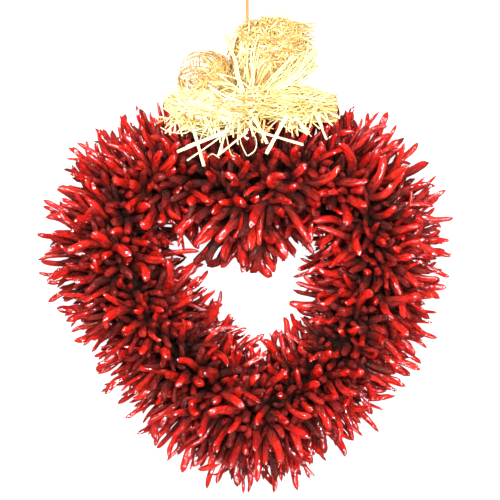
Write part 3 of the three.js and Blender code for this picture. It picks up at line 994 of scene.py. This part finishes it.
def ball_scrap(ball, length, lift, zone):
    """A short strand lying on a ball, its ends standing off a little."""
    centre, axes = ball
    low, high = np.radians(zone)
    angle = uniform(low, high)
    tilt = uniform(0.0, 1.25)
    spot = np.array([math.cos(angle) * math.sin(tilt), math.sin(angle) * math.sin(tilt),
                     math.cos(tilt)])
    way = across_from(normal(0, 1, 3) * np.array([1.5, 1.0, 0.8]), spot)
    s = np.linspace(-0.5, 0.5, 9)[:, None]
    arc = length / axes.mean() * s
    on_ball = spot * np.cos(arc) + way * np.sin(arc)
    path = centre + axes * on_ball * (1.0 + lift / axes.mean() * (2 * s) ** 2)
    return path, unit(on_ball / axes)


def low_arc(ball, scale, steps):
    """Part of a loop that hangs below a ball's middle."""
    centre, axes = ball
    start = uniform(math.pi * 0.72, math.pi * 1.3)
    a = np.linspace(start, start + uniform(0.9, 2.6), steps)
    wide = axes[0] * (0.35 + 0.65 * scale)
    middle = np.array([centre[0] + 0.6 * (axes[0] - wide) + normal(0, 2),
                       centre[1] + normal(0, 2.5),
                       centre[2] + axes[2] * (1 - 0.6 * scale) * uniform(0.2, 1)])
    path = middle + np.stack([wide * np.cos(a), axes[1] * scale * np.sin(a),
                              normal(0, 4) * np.sin(a)], axis=1)
    return path + wander(steps, 1.2)


def turned_up(path):
    """The path with what lies at the bowl's outer end bent up."""
    bent = path.copy()
    bent[:, 1] += BOWL_TURN_UP * np.maximum(0, BOWL_BEND_X - path[:, 0]) ** 2
    return bent


def over_ball(ball, x, y):
    """The level of a ball's front at a place; past its edge, that of its middle."""
    centre, axes = ball
    inside = 1 - ((x - centre[0]) / axes[0]) ** 2 - ((y - centre[1]) / axes[1]) ** 2
    return centre[2] + axes[2] * math.sqrt(max(0, inside))


def over_place(place, reach):
    """A short strand across a place, a little higher there than at its ends."""
    return resampled([place - reach, place + [0, 0, 1.5], place + reach], 8)


def make_puff():
    """The big looped ball on the right, frayed along its top and its rim."""
    puff = Heap()
    for ball, loops, scraps in PUFF_BALLS:
        for _ in range(loops):
            path, out = ball_loop(ball, 30, (38, 92))
            lay_strip(puff, path, out, (0.4, 1.0), 0.12, 0.5, 1.2)
        for _ in range(scraps):
            path, out = ball_scrap(ball, uniform(16, 50), uniform(0, 6), (-20, 230))
            # painted light: scraps on the puff's shaded lower right are made paler
            right = path[:, 0].mean() - PAINTED_LIGHT_CORNER[0]
            low = PAINTED_LIGHT_CORNER[1] - path[:, 1].mean()
            pale = 0.45 + 0.4 * smooth(right / PAINTED_LIGHT_FADE) + 0.4 * smooth(low / PAINTED_LIGHT_FADE)
            lay_strip(puff, path, out, (0.8, 1.6), pale, 0.5, 0.8)
    for _ in range(PUFF_TOP):
        spots = [place_in(zone) for zone in TOP_ZONES]
        places = [(x, y, over_ball(PUFF, x, y) + uniform(-3, 3)) for x, y in spots]
        path = resampled(places, 16) + wander(16, 1.0)
        lay_strip(puff, path, UP, (0.5, 1.3), (0.1, 0.8), 0.5, 0.8)
    for _ in range(PUFF_STANDING):
        path, out = ball_scrap(PUFF, uniform(18, 34), uniform(4, 13), (-50, 150))
        lay_strip(puff, path, out, (0.4, 0.9), (0.1, 0.8), 0.5, 0.8)
    for _ in range(PUFF_RIGHT):
        places = [KNOT + place_in(RIGHT_START), *(place_in(zone) for zone in RIGHT_ZONES)]
        path = resampled(places, 14) + wander(14, 0.9)
        lay_strip(puff, path, UP, (0.6, 1.5), (0.7, 1.0), 0.5, 0.8)
    for _ in range(PUFF_RIM):
        path, out = ball_scrap(PUFF_EDGE, uniform(20, 50), uniform(0, 4), (-50, 50))
        lay_strip(puff, path, out, (0.5, 1.2), (0.7, 1.0), 0.5, 0.8)
    return puff


def make_cage():
    """The smaller open cage of loops on the left."""
    cage = Heap()
    for _ in range(CAGE_LOOPS):
        path, out = ball_loop(CAGE, 36, (45, 92))
        lay_strip(cage, path, out, (0.6, 1.1), (0.0, 0.6), 0.5, 1.0)
    for _ in range(CAGE_SCRAPS):
        path, out = ball_scrap(CAGE, uniform(14, 30), 2, (-60, 60))
        lay_strip(cage, path, out, (0.5, 1.0), (0.0, 0.6))
    return cage


def make_bowl():
    """The flat looped mass on the left of the knot, and the scraps over the knot."""
    bowl = Heap()
    for _ in range(BOWL_LOOPS):
        path, out = ball_loop(BOWL, 34, (25, 92))
        lay_strip(bowl, turned_up(path), out, (0.5, 1.3), (0.05, 0.6), 0.5, 1.0)
    for _ in range(BOWL_ARCS):
        path = low_arc(BOWL, uniform(0.35, 1.04) ** 0.7, 20)
        lay_strip(bowl, turned_up(path), UP, (0.6, 1.5), (0.3, 1.0), 0.5, 1.0)
    for _ in range(BOWL_STRANDS):
        top, low = [place_in(zone) for zone in BOWL_ZONES]
        middle = (top + low) / 2 + [uniform(-9, 2), normal(0, 3), 5]
        path = resampled([top, middle, low], 14) + wander(14, 0.9)
        lay_strip(bowl, path, UP, (0.6, 1.5), (0.3, 1.0), 0.5, 1.0)
    for _ in range(BOWL_RAYS):
        angle = math.radians(uniform(125, 275))
        reach = flat(angle, uniform(14, 46), 0.62)
        start = KNOT + [uniform(-8, 6), normal(0, 4), uniform(8, 12)]
        bow = normal(0, 0.16) * np.array([-reach[1], reach[0], 0])
        middle = start + 0.5 * reach + bow + [0, 0, 2]
        path = resampled([start, middle, start + reach - [0, 0, 3]], 10)
        lay_strip(bowl, path, UP, (0.6, 1.5), 0.6, 0.5, 0.8)
    for _ in range(BOWL_SCRAPS):
        path, out = ball_scrap(BOWL, uniform(8, 30), uniform(0, 5), (-15, 195))
        lay_strip(bowl, turned_up(path), out, (0.5, 1.4), 0.7, 0.4)
    for _ in range(KNOT_SCRAPS):
        place = KNOT + [normal(0, 9), normal(0, 6), uniform(11, 15)]
        reach = flat(uniform(0, math.pi), uniform(3, 11), 0.7)
        lay_strip(bowl, over_place(place, reach), UP, (0.5, 1.4), 0.65, 0.4)
    return bowl


def make_fan():
    """The trimmed fan on the right of the knot, with painted shade on its deeper strands, so it
    is paler towards its front.
    """
    fan = Heap()
    for _ in range(FAN_STRANDS):
        level, depth = uniform(-1, 1), uniform(0, 10)
        start = KNOT + [uniform(-14, 4), 7 * level, uniform(-2, 5)]
        middle = [uniform(30, 48), FAN_Y + 16.5 * level, 72 - 5 * level ** 2 - depth]
        end = [uniform(62, 81), 126 + 10 * level + normal(0, 1.5), uniform(58, 66)]
        path = resampled([start, middle, end], 14) + wander(14, 0.8)
        # painted shade: the deeper a strand lies, the darker its tint
        lay_strip(fan, path, UP, (0.6, 1.7), (0.6, 1.0), 0.5, 0.7, shade=-0.07 * depth)
    for _ in range(FAN_SCRAPS):
        x = uniform(4, 74)
        y = FAN_Y + uniform(-1, 1) * (FAN_HALF_WIDTH - 0.06 * x)
        level = 71 - 5 * ((y - FAN_Y) / FAN_HALF_WIDTH) ** 2 + uniform(-2, 3)
        reach = flat(normal(0.1, 0.55), uniform(5, 14))
        path = over_place(np.array([x, y, level]), reach)
        lay_strip(fan, path, UP, (0.5, 1.4), (0.2, 1.0), 0.5)
    return fan


# Strips up the front of the bow, and the string's two legs: points, widths and how many
# lie side by side
FRONT_STRIPS = [
    ([(-18.6, 192.7, 40), (-14.2, 178.3, 52), (-8.6, 165, 62), (-6.5, 152, 68),
      (-2, 137, 70)], 3.4, 1),
    ([(8.9, 186.3, 58), (4.4, 173.9, 64), (3.5, 160.5, 68), (4.5, 145.5, 70),
      (3, 132, 70)], 1.2, 3),
    ([(15, 194.3, 54), (12.4, 178.3, 67), (8.9, 160.5, 70), (5.3, 148, 71),
      (2, 136, 71)], 0.9, 2),
    ([(43.5, 168, 66), (34, 157, 71), (25.7, 146.4, 71), (11.5, 132.2, 71)], 1.1, 7),
    ([(0.9, 200.2, 31), (-5, 193, 44), (-9, 187, 52), (-11, 178, 58)], 1.6, 1),
    ([(0.9, 200.2, 31), (8, 194, 52), (14, 188, 60), (19, 179, 66)], 1.6, 1),
]
# Loose cut ends that hang below and beside the knot: points and widths
LOOSE_ENDS = [
    ([(-14, 106), (-21.3, 102), (-59.7, 86.2)], 4.0),
    ([(-12, 108), (-18.6, 104), (-51.9, 90.7)], 2.4),
    ([(-16, 104), (-30.2, 93.1), (-51, 78.5)], 2.0),
    ([(-46, 108), (-44.4, 102), (-36.4, 73.6)], 4.0),
    ([(-16, 110), (-17.7, 103.8), (-23.5, 83.4)], 3.0),
    ([(2, 106), (-5.3, 98.5), (-24.8, 82.5)], 2.6),
    ([(36, 120), (32.8, 112.6), (17.7, 84.3)], 5.0),
    ([(6, 107), (14.2, 102.9), (49.7, 92.2)], 3.2),
    ([(38, 122), (42.6, 117.1), (53.7, 101.1)], 4.0),
    ([(58, 123), (61.2, 117.1), (70.1, 96.7)], 2.5),
    ([(58, 123), (63.9, 118.9), (75.4, 108.7)], 2.0),
    ([(60, 127), (67.4, 123.3), (81.6, 115.3)], 2.5),
    ([(-48, 106), (-53, 102.4), (-65.6, 103.3), (-74.1, 107.3)], 1.1),
    ([(3, 112), (4.4, 105.6), (8.9, 96.7), (8, 87.8), (1.8, 82.5)], 1.3),
    ([(-6, 112), (-5.3, 105.6), (-4.4, 94), (0.9, 82.5)], 1.1),
    ([(-17, 103), (-16, 95.8), (-12.4, 83.4), (-5.3, 82.5)], 1.0),
    ([(-37, 76), (-34.6, 79.8), (-29.3, 84.3), (-23, 80.7)], 0.9),
    ([(6, 116), (10.6, 109.1), (18.6, 93.1)], 4.2),
]
LOOSE_LEVELS = (67, 72)  # of their first and last points
LOOSE_NARROWER = 0.64
TIE_AXES = np.array([8.5, 5.0, 9.5])  # of the strands tied round the knot
TIE_STEP = 1.6


def make_ends():
    """The strips over the front, the cut ends below, and the strands tied round the knot."""
    ends = Heap()
    for points, width, count in FRONT_STRIPS:
        for _ in range(count):
            aside = normal(0, 1.3 * math.sqrt(count - 1), 3)
            path = resampled(points, 26) + wander(26, 0.3 * count) + aside
            lay_strip(ends, path, UP, width, (0.7, 1.0), 0.15, 0.4)
    for points, width in LOOSE_ENDS:
        levels = np.linspace(*LOOSE_LEVELS, len(points))
        path = resampled([(x, y, z) for (x, y), z in zip(points, levels)], 18)
        width *= LOOSE_NARROWER
        ends.add(strip_rings(path, UP, width, normal(0, 0.2), normal(0, 0.3)), 0.95)
    for _ in range(HANGING_SCRAPS):
        start = np.array([uniform(-66, 66), 0, uniform(62, 70)])
        start[1] = 109 + 6 * (start[0] / 66) ** 2 + normal(0, 2.5)
        angle = math.radians(-90 + 0.75 * start[0]) + normal(0, 0.75)
        reach = flat(angle, uniform(4, 15))
        path = resampled([start - 0.4 * reach, start, start + reach + [0, 0, 2]], 9)
        lay_strip(ends, path, UP, (0.5, 1.5), 0.8, 0.4)
    for turn in range(KNOT_TIES):
        tilt = normal(0, 0.25)
        a = np.linspace(0, 2 * math.pi, 26)
        wrap = np.stack([TIE_AXES[0] * np.cos(a),
                         TIE_AXES[1] * np.sin(a) * math.cos(tilt) + 3.2 * np.cos(a) * tilt,
                         TIE_AXES[2] * np.sin(a)], axis=1)
        path = KNOT + np.array([0, -4 + TIE_STEP * turn, -1]) + wrap + wander(26, 0.4)
        out = unit(wrap * np.array([1, 0.1, 1]))
        lay_strip(ends, path, out, (1.0, 1.8), (0.3, 0.9))
    return ends


for strands, name, node in ((make_puff(), "raffia_puff", "raffia_loop_right"),
                            (make_cage(), "raffia_cage", "raffia_loop_left"),
                            (make_bowl(), "raffia_bowl", "raffia_ends"),
                            (make_fan(), "raffia_fan", "raffia_ends"),
                            (make_ends(), "raffia_cut_ends", "raffia_ends")):
    strands.build(name, RAFFIA, node, "raffia", is_smooth=False)
